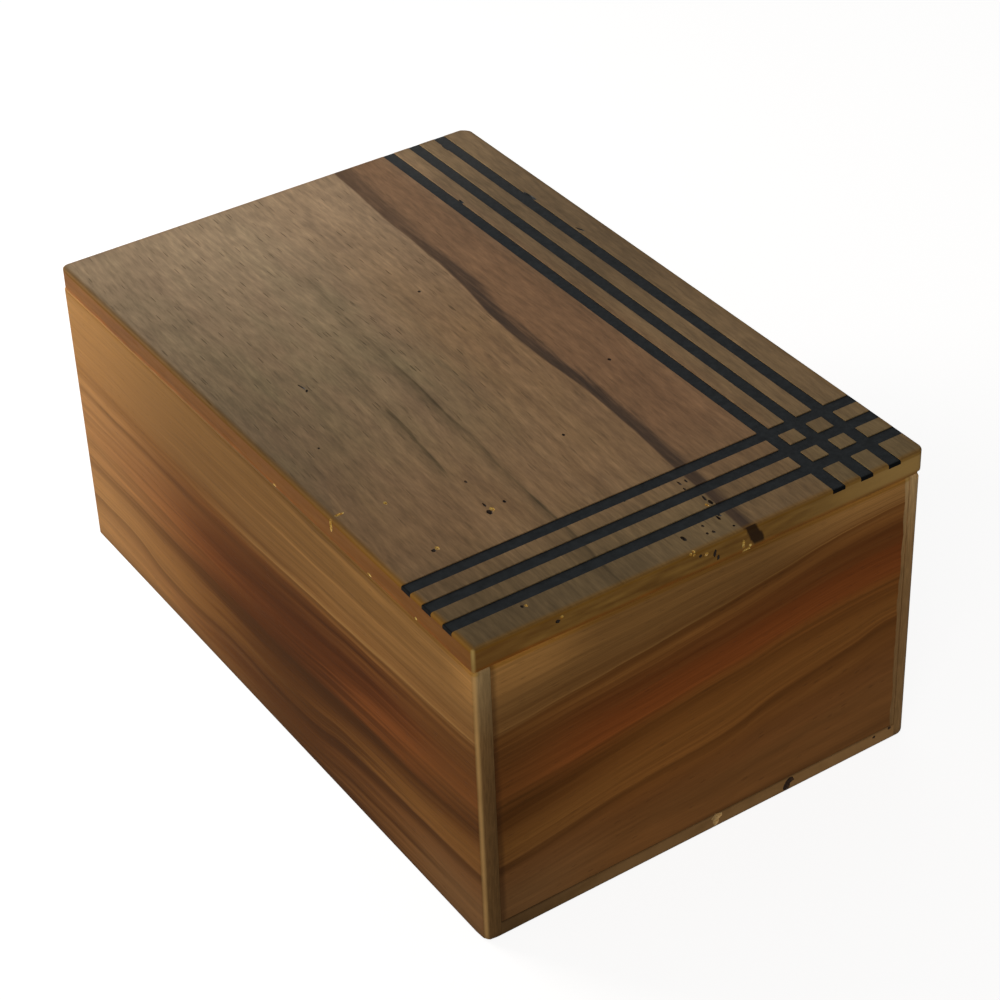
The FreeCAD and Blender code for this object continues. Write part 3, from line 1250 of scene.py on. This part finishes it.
    def top(self, graph: Graph, effects: Effects, place: Feed) -> tuple[Socket, dict[str, Socket]]:
        """The colour of the lid's top.

        Args:
            graph: The tree to build in.
            effects: The shared node groups.
            place: The place in millimetres.

        Returns:
            The colour, and the grain's masks.
        """
        at = self.find(graph, effects, place)
        colour = self.olived(at, self.streaked(at, self.ground(at)))
        colour = graph.shaded(colour, self.shade(at))
        dashes = graph.times(
            graph.span(at.pores(0.5, 0.8, 0.83), 0.3, 0.7),
            graph.span(at.along, 50.0, -10.0, 0.12, 0.58),
            graph.span(at.across, 30.0, 0.0, 0.35, 1.0),
        )
        broad = graph.span(at.pores(0.42, 0.5, 0.19), 0.1, 0.8)
        smudges = graph.times(broad, graph.span(at.across, 30.0, 0.0, 0.1, 0.32))
        colour = graph.tinted(colour, (smudges, tone(92, 72, 46)), (dashes, tone(80, 62, 40)))
        return colour, dict(at.grain, Pores=dashes)

    def near_edges(self, graph: Graph, effects: Effects, place: Feed, width: float) -> tuple[Socket, Socket]:
        """Masks of the lid's long and short edges, fainter on the right and at the rear.

        Args:
            graph: The tree to build in.
            effects: The shared node groups.
            place: The place in millimetres.
            width: How far the masks reach in.

        Returns:
            The mask of the long edges and that of the short ones.
        """
        along, across, _ = graph.parts(place)
        arris = graph.group(effects.arris, Place=place, Width=width)
        return (graph.times(arris["Side"], graph.span(across, -10.0, 10.0, 1.0, 0.35)),
                graph.times(arris["End"], graph.span(along, -10.0, 10.0, 0.35, 1.0)))

    def side_tone(self, graph: Graph, place: Feed) -> Socket:
        """The lacquered brown of the lid's long edges.

        Args:
            graph: The tree to build in.
            place: The place in millimetres.

        Returns:
            The colour.
        """
        mottle = graph.noise(graph.stretched(place, 0.05, 0.08, 0.9), detail=3.0)
        side = graph.between(mottle, tone(132, 80, 27), tone(156, 102, 42))
        return graph.shaded(side, graph.span(graph.parts(place)[0], 60.0, -40.0, 1.0, 0.8))

    def end_tone(self, graph: Graph, place: Feed) -> Socket:
        """The end grain of the lid's short edges, lighter to the right.

        Args:
            graph: The tree to build in.
            place: The place in millimetres.

        Returns:
            The colour.
        """
        across = graph.parts(place)[1]
        rings = graph.noise(graph.stretched(place, 0.5, 0.12, 0.8), detail=4.0)
        return graph.tinted(
            graph.between(rings, tone(138, 96, 42), tone(182, 136, 66)),
            (graph.span(across, -30.0, -48.0, 0.0, 0.6), tone(144, 98, 44)),
            (graph.span(across, 12.0, 48.0, 0.0, 0.85), tone(222, 178, 104)),
        )

    def plug(self, graph: Graph, place: Feed) -> Socket:
        """The mask of the dark plug where the streak comes out at the front, a little aslant.

        Args:
            graph: The tree to build in.
            place: The place in millimetres.

        Returns:
            The mask.
        """
        along, across, height = graph.parts(place)
        patch = graph.noise(graph.stretched(place, 0.6, 0.9, 0.5), detail=3.0)
        lean = graph.add(graph.times(graph.less(LID_TOP, height), 0.48), 9.1, graph.swing(patch, 0.3))
        return graph.times(
            graph.window(across, lean, 0.95, 0.6),
            graph.span(along, HALF_LENGTH - 0.6, HALF_LENGTH - 0.3),
            graph.span(height, SEAM_HEIGHT + 0.3, SEAM_HEIGHT + 1.3, 0.0, 0.92),
        )

    def build(self, effects: Effects) -> bpy.types.Material:
        """The lid's material: its top, its lacquered edges with painted highlights and glints, and its raw
        underside.

        Args:
            effects: The shared node groups.

        Returns:
            The material.
        """
        material = Material("lid_wood")
        graph, place = material.graph, material.place
        along, _, height = graph.parts(place)
        colour, grain = self.top(graph, effects, place)
        arris = graph.group(effects.arris, Place=place, Width=0.8)
        sides, ends = self.near_edges(graph, effects, place, 0.8)
        below = graph.span(height, LID_TOP - 0.05, LID_TOP - 0.4)
        rim = graph.most(arris["Side"], arris["End"])
        # the amber of the lid's lower edge: partly its lacquer, partly painted glints
        edge = graph.times(rim, graph.span(height, SEAM_HEIGHT + 1.3, SEAM_HEIGHT + 0.3, 0.0, 0.7))
        glint = graph.noise(graph.stretched(place, 0.16, 0.16, 0.3), detail=2.0)
        wide_sides, wide_ends = self.near_edges(graph, effects, place, 1.5)
        fringe = graph.most(wide_sides, graph.times(wide_ends, 0.7))
        # rubbed amber along the top's arris, golden towards the front: partly wear, partly a painted
        # highlight
        worn = graph.times(fringe, graph.span(height, LID_TOP - 1.0, LID_TOP - 0.45), 0.85)
        # painted highlight on the lid's corners, stronger towards the top
        bright = graph.span(height, SEAM_HEIGHT + 1.0, LID_TOP - 0.6, 0.6, 0.95)
        under = graph.span(height, SEAM_HEIGHT + 0.25, SEAM_HEIGHT + 0.05, 0.0, 0.6)
        colour = graph.tinted(
            colour,
            (graph.times(sides, below), self.side_tone(graph, place)),
            (graph.times(ends, below), self.end_tone(graph, place)),
            (edge, graph.between(glint, tone(132, 80, 24), tone(184, 104, 26))),
            (worn, graph.mix(graph.span(along, 0.0, 60.0), tone(116, 80, 30), tone(150, 104, 34))),
            (self.plug(graph, place), tone(50, 31, 17)),
            (graph.times(arris["Corner"], bright), tone(232, 196, 118)),
            (under, BARE_WOOD),
        )
        fibre, pores = grain["Fibre"], grain["Pores"]
        rough = graph.add(graph.factor(fibre, 0.36, 0.46), graph.times(pores, 0.15), graph.times(worn, 0.5))
        relief = graph.add(fibre, graph.times(pores, -1.4), graph.times(grain["Lines"], 0.5))
        return material.finish(colour, rough, relief, relief=0.04, Specular_IOR_Level=0.1)


@dataclass
class Lid:
    """The lid, its stripes, and its pits and worn places."""

    wood: LidWood = field(default_factory=LidWood)
    worn_radius: float = 3.5
    corner_cuts: int = 4
    stripes: tuple[str, ...] = tuple(
        f"{way}_inlay_{number}" for way in ("lengthwise", "crosswise") for number in (1, 2, 3)
    )
    pits: tuple[Flaw, ...] = (
        on_top(46.3, -25.9, 0.75, 0.55, 0.5), on_top(44.0, -25.4, 0.7, 0.25, 0.3),
        on_top(50.0, -40.1, 0.5, 0.4, 0.35), on_top(45.2, -21.9, 0.45, 0.3, 0.3),
        on_top(59.4, 6.8, 0.7, 0.22, 0.3), on_top(59.5, 8.2, 0.5, 0.22, 0.25),
        on_top(61.3, 6.5, 0.45, 0.2, 0.25), on_top(65.7, 7.7, 0.8, 0.25, 0.35, 8.0),
        on_top(67.3, 7.9, 0.8, 0.35, 0.45, 5.0), on_top(71.3, 6.7, 0.6, 0.25, 0.35, -20.0),
        on_top(71.9, 6.1, 0.7, 0.3, 0.45), on_top(73.2, -2.6, 0.8, 0.4, 0.5),
        on_top(72.2, 2.4, 0.35, 0.25, 0.25), on_top(74.4, 1.7, 0.35, 0.25, 0.25),
        on_top(74.7, 2.9, 0.4, 0.3, 0.25), on_top(75.4, 6.9, 0.3, 0.25, 0.25),
        on_top(72.3, -36.4, 0.4, 0.3, 0.4), on_top(36.0, -24.2, 0.45, 0.25, 0.3),
        on_top(18.4, 20.5, 0.45, 0.35, 0.3), on_top(-24.8, 4.2, 0.4, 0.35, 0.3),
        on_top(-8.8, -32.6, 1.2, 0.2, 0.2, -10.0), on_top(-7.0, -32.5, 0.5, 0.22, 0.25, 30.0),
        on_top(10.9, -40.4, 0.35, 0.22, 0.25), on_top(34.2, -1.3, 0.4, 0.3, 0.3),
        on_front(-32.6, 66.8, 0.4, 0.5, 0.4), on_front(1.1, 66.2, 0.4, 0.35, 0.8),
        on_front(1.9, 65.0, 0.4, 0.3, 0.6), on_front(-2.1, 67.1, 0.35, 0.35, 0.35))
    # amber crumbs in pits and along the lid's lower edge, brightened into painted glints
    glinting_gilt_pits: tuple[Flaw, ...] = (
        on_top(45.8, -25.0, 0.7, 0.45, 0.3), on_top(49.8, -39.2, 0.6, 0.45, 0.3),
        on_top(32.9, -39.5, 0.5, 0.35, 0.3), on_top(67.6, 6.8, 0.5, 0.3, 0.3),
        on_top(57.8, -4.4, 0.35, 0.3, 0.25), on_top(72.5, -35.7, 0.4, 0.3, 0.25),
        on_front(-31.8, 67.4, 0.35, 0.4, 0.35), on_top(31.0, -48.0, 0.35, 1.0, 0.3),
        on_left(31.2, 67.2, 0.5, 0.5, 1.6), Flaw((77.4, -4.2, 68.3), (0.35, 0.3, 0.3)),
        Flaw((77.5, -3.5, 67.9), (0.3, 0.3, 0.3)), on_top(77.2, -3.4, 0.35, 0.3, 0.3),
        on_front(-0.8, 66.9, 0.45, 0.5, 0.5), on_front(7.5, 65.4, 0.4, 0.35, 1.0),
        on_front(9.0, 64.5, 0.35, 0.4, 0.4), on_front(8.1, 63.8, 0.4, 1.0, 0.4),
        on_left(10.5, 64.0, 0.7, 0.3, 0.3), on_left(44.0, 63.9, 0.8, 0.3, 0.3),
        on_left(59.5, 64.0, 0.4, 0.3, 0.4))
    torn_edges: tuple[Flaw, ...] = (
        on_top(-43.8, 44.0, 2.6, 0.35, 0.3, -4.0), on_top(-25.7, 44.6, 1.2, 0.22, 0.22, -16.0),
        on_top(-72.3, 41.2, 1.6, 0.45, 0.3), on_top(-50.3, 30.9, 1.0, 0.32, 0.25))

    def stripe_black(self, effects: Effects) -> bpy.types.Material:
        """The satin blue-black of the stripes, greyer at the rear with painted sheen, darker at their sawn
        ends.

        Args:
            effects: The shared node groups.

        Returns:
            The material.
        """
        material = Material("stripe_black")
        graph = material.graph
        cloud = graph.noise(graph.stretched(material.place, 0.5, 0.5, 0.5), detail=4.0)
        tooth = graph.noise(graph.stretched(material.place, 1.4, 1.4, 1.4), detail=3.0)
        # painted sheen: the stripes made greyer towards the rear of the lid
        greyed = graph.span(graph.parts(material.place)[0], -30.0, -HALF_LENGTH, 0.0, 0.5)
        arris = graph.group(effects.arris, Place=material.place, Width=0.5)
        sawn = graph.most(arris["End"], arris["Side"])
        colour = graph.between(cloud, tone(24, 28, 30), tone(38, 43, 46))
        colour = graph.tinted(colour, (greyed, tone(72, 72, 70)), (sawn, tone(8, 11, 14)))
        rough = graph.add(graph.factor(tooth, 0.36, 0.52), graph.times(sawn, 0.3))
        return material.finish(colour, rough, graph.add(cloud, tooth), relief=0.03, Specular_IOR_Level=0.14)

    def wear_corner(self, board: bpy.types.Object) -> None:
        """Rounds the rear right corner by a few flat cuts, as it is worn.

        Args:
            board: The lid's board.
        """
        radius = self.worn_radius
        middle = Vector((radius - HALF_LENGTH, HALF_WIDTH - radius, LID_TOP))
        for step in range(1, self.corner_cuts + 1):
            turn = math.radians(90.0 * step / (self.corner_cuts + 1))
            outward = Vector((-math.cos(turn), math.sin(turn), 0.0))
            pare(board, middle + outward * radius, outward)

    def build(self, effects: Effects) -> None:
        """Works the pits and worn places into the lid and dresses it and its stripes.

        Args:
            effects: The shared node groups.
        """
        black = self.stripe_black(effects)
        for stripe in self.stripes:
            put_on(stripe, black)
        wood = self.wood.build(effects)
        put_on("lid_panel", wood)
        board = merged_copy("lid_panel", "pitted_lid")
        self.wear_corner(board)
        dark = Lining("dark_pit", tone(24, 15, 8), tone(58, 36, 16), 0.6).build()
        # amber pit lining: partly crumbs of lacquer, partly painted glints
        gilt_glints = Lining("amber_glint_pit", tone(196, 142, 50), tone(255, 222, 120), 0.3).build()
        Flaws(self.pits, dark, 41).cut(board)
        Flaws(self.glinting_gilt_pits, gilt_glints, 71).cut(board)
        Flaws(self.torn_edges, black, 97).cut(board)
        Flaws(SEAM_BRUISE, wood, BRUISE_SEED).cut(board)
        stands_for(board, "lid_panel", "lid")


@dataclass
class Lock:
    """The battens, keepers, blocks, caps and pins inside the box."""

    arris: float = 0.35
    on_lid: tuple[str, ...] = ("left_lid_batten", "right_lid_batten", "front_keeper", "rear_keeper")
    on_case: tuple[str, ...] = ("front_lock_block", "rear_lock_block", "front_pin_cap", "rear_pin_cap")
    pins: tuple[str, ...] = ("front_lock_pin", "rear_lock_pin")

    def raw_wood(self, effects: Effects) -> bpy.types.Material:
        """Sanded wood without lacquer.

        Args:
            effects: The shared node groups.

        Returns:
            The material.
        """
        material = Material("raw_wood")
        graph = material.graph
        grain = graph.group(effects.grain, Place=material.place, Seed=0.71)
        colour = graph.blend(grain["Streaks"], tone(158, 116, 72), tone(184, 142, 94), tone(200, 160, 112))
        shade = graph.times(graph.factor(grain["Lines"], 0.85, 1.12), graph.factor(grain["Fibre"], 0.88, 1.1))
        colour = graph.shaded(colour, shade)
        colour = graph.mix(graph.times(grain["Pores"], 0.4), colour, tone(110, 76, 46))
        rough = graph.factor(grain["Fibre"], 0.58, 0.74)
        return material.finish(colour, rough, grain["Fibre"], relief=0.06)

    def turned_steel(self) -> bpy.types.Material:
        """Bright steel with fine turning marks round it.

        Returns:
            The material.
        """
        material = Material("turned_steel")
        graph = material.graph
        marks = graph.noise(graph.stretched(material.place, 9.0, 0.3, 0.3), detail=3.0)
        smudge = graph.noise(graph.stretched(material.place, 0.4, 0.4, 0.4), detail=2.0)
        colour = graph.between(smudge, tone(150, 150, 150), tone(186, 186, 184))
        rough = graph.add(graph.factor(marks, 0.18, 0.3), graph.factor(smudge, 0.0, 0.12))
        return material.finish(colour, rough, marks, relief=0.012, Metallic=1.0)

    def eased(self, node: str, body: str, wood: bpy.types.Material) -> None:
        """Eases a wooden piece's sharp edges.

        Args:
            node: The node the piece stands for.
            body: What it moves with.
            wood: Its material.
        """
        put_on(node, wood)
        piece = merged_copy(node, f"eased_{node}")
        modifier = piece.modifiers.new("arris", "BEVEL")
        modifier.width = self.arris * MM
        modifier.segments = 2
        modifier.limit_method = "ANGLE"
        modifier.angle_limit = math.radians(50)
        bpy.ops.object.modifier_apply(modifier=modifier.name)
        stands_for(piece, node, body)

    def build(self, effects: Effects) -> None:
        """Dresses the hidden pieces.

        Args:
            effects: The shared node groups.
        """
        wood = self.raw_wood(effects)
        for body, nodes in (("lid", self.on_lid), ("case", self.on_case)):
            for node in nodes:
                self.eased(node, body, wood)
        steel = self.turned_steel()
        for pin in self.pins:
            put_on(pin, steel)


@dataclass(frozen=True)
class Viewpoint:
    """Where the box is seen from and how it is framed, for a square picture of 1000 pixels."""

    place_mm: tuple[float, float, float] = (376.86, -232.90, 354.91)
    azimuth: float = -34.295
    elevation: float = 35.128
    roll: float = -1.172
    focal_px: float = 2700.0
    centre_px: tuple[float, float] = (573.2, 454.6)
    image_px: float = 1000.0
    sensor_mm: float = 36.0

    def build(self) -> None:
        """Makes the camera and sets it as the scene's."""
        data = bpy.data.cameras.new("camera")
        data.sensor_width = self.sensor_mm
        data.lens = self.focal_px / self.image_px * self.sensor_mm
        data.shift_x = 0.5 - self.centre_px[0] / self.image_px
        data.shift_y = self.centre_px[1] / self.image_px - 0.5
        data.clip_start = 0.01
        data.clip_end = 20.0
        camera = bpy.data.objects.new("camera", data)
        bpy.context.scene.collection.objects.link(camera)
        azimuth, elevation, roll = (math.radians(v) for v in (self.azimuth, self.elevation, self.roll))
        back = Vector((
            math.cos(elevation) * math.cos(azimuth),
            math.cos(elevation) * math.sin(azimuth),
            math.sin(elevation),
        ))
        level = Vector((0, 0, 1)).cross(back).normalized()
        upward = back.cross(level)
        right = math.cos(roll) * level + math.sin(roll) * upward
        up = math.cos(roll) * upward - math.sin(roll) * level
        turn = Matrix((right, up, back)).transposed().to_4x4()
        camera.matrix_world = Matrix.Translation(Vector(self.place_mm) * MM) @ turn
        bpy.context.scene.camera = camera


@dataclass(frozen=True)
class Lamp:
    """A soft square lamp that looks at the box."""

    name: str
    place: tuple[float, float, float]
    size: float
    watts: float
    colour: tuple[float, float, float] = (1.0, 1.0, 1.0)

    def build(self) -> None:
        """Adds the lamp, turned to the middle of the box."""
        data = bpy.data.lights.new(self.name, "AREA")
        data.size = self.size
        data.energy = self.watts
        data.color = self.colour
        lamp = bpy.data.objects.new(self.name, data)
        bpy.context.scene.collection.objects.link(lamp)
        lamp.location = self.place
        aim = Vector((0.0, 0.0, 0.03)) - lamp.location
        lamp.rotation_euler = aim.to_track_quat("-Z", "Y").to_euler()


@dataclass
class Studio:
    """The floor, the white surround and the lamps."""

    lamps: tuple[Lamp, ...] = (
        Lamp("side_window", (-0.26, -0.18, 0.14), 0.18, 0.85, (1.0, 0.98, 0.94)),
        Lamp("back_window", (-0.54, 0.37, 0.53), 0.5, 0.3),
        Lamp("front_fill", (0.60, -0.60, 0.45), 0.4, 1.5, (1.0, 0.97, 0.92)),
    )
    ambient: float = 0.2
    mirrored: float = 0.22
    floor_glow: float = 0.88
    floor_mirrored: float = 0.1
    floor_size: float = 6.0

    def seen(self, graph: Graph, direct: float, mirrored: float, otherwise: float) -> Socket:
        """How bright a surround is to the eye, in gloss and glass, and to everything else.

        Args:
            graph: The tree to build in.
            direct: Its strength for the camera.
            mirrored: Its strength in gloss and glass.
            otherwise: Its strength as a light.

        Returns:
            The strength.
        """
        path = graph.node("LightPath").outputs
        gloss = graph.most(path["Is Glossy Ray"], path["Is Transmission Ray"])
        strength = graph.span(gloss, 0.0, 1.0, otherwise, mirrored, smooth=False)
        return graph.span(path["Is Camera Ray"], 0.0, 1.0, strength, direct, smooth=False)

    def surround(self) -> None:
        """A white surround that lights the box softly."""
        world = bpy.data.worlds.new("surround")
        bpy.context.scene.world = world
        world.use_nodes = True
        world.node_tree.nodes.clear()
        graph = Graph(world.node_tree)
        strength = self.seen(graph, 1.0, self.mirrored, self.ambient)
        sky = graph.node("Background", {"Color": (1.0, 1.0, 1.0, 1.0), "Strength": strength})
        output = graph.node("OutputWorld")
        world.node_tree.links.new(sky.outputs[0], output.inputs["Surface"])

    def floor(self) -> None:
        """A pale floor that keeps the box's shadow."""
        bpy.ops.object.select_all(action="DESELECT")
        bpy.ops.mesh.primitive_plane_add(size=self.floor_size)
        floor = bpy.context.object
        floor.name = "floor"
        made = bpy.data.materials.new("pale_floor")
        made.use_nodes = True
        made.node_tree.nodes.clear()
        graph = Graph(made.node_tree)
        lit = graph.node("BsdfDiffuse", {"Color": (0.3, 0.29, 0.28, 1.0)})
        strength = self.seen(graph, self.floor_glow, self.floor_mirrored, 0.0)
        glow = graph.node("Emission", {"Color": (1.0, 1.0, 1.0, 1.0), "Strength": strength})
        both = graph.node("AddShader", {0: lit.outputs[0], 1: glow.outputs[0]})
        output = graph.node("OutputMaterial")
        made.node_tree.links.new(both.outputs[0], output.inputs["Surface"])
        floor.data.materials.append(made)

    def build(self) -> None:
        """Sets the stage."""
        bpy.context.scene.view_settings.view_transform = "Standard"
        self.surround()
        self.floor()
        for lamp in self.lamps:
            lamp.build()


def main() -> None:
    """Builds the box's looks in order."""
    logging.basicConfig(level=logging.INFO)
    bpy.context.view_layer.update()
    effects = Effects()
    Viewpoint().build()
    Studio().build()
    Case().build(effects)
    Lid().build(effects)
    Lock().build(effects)


if __name__ == "__main__":
    main()
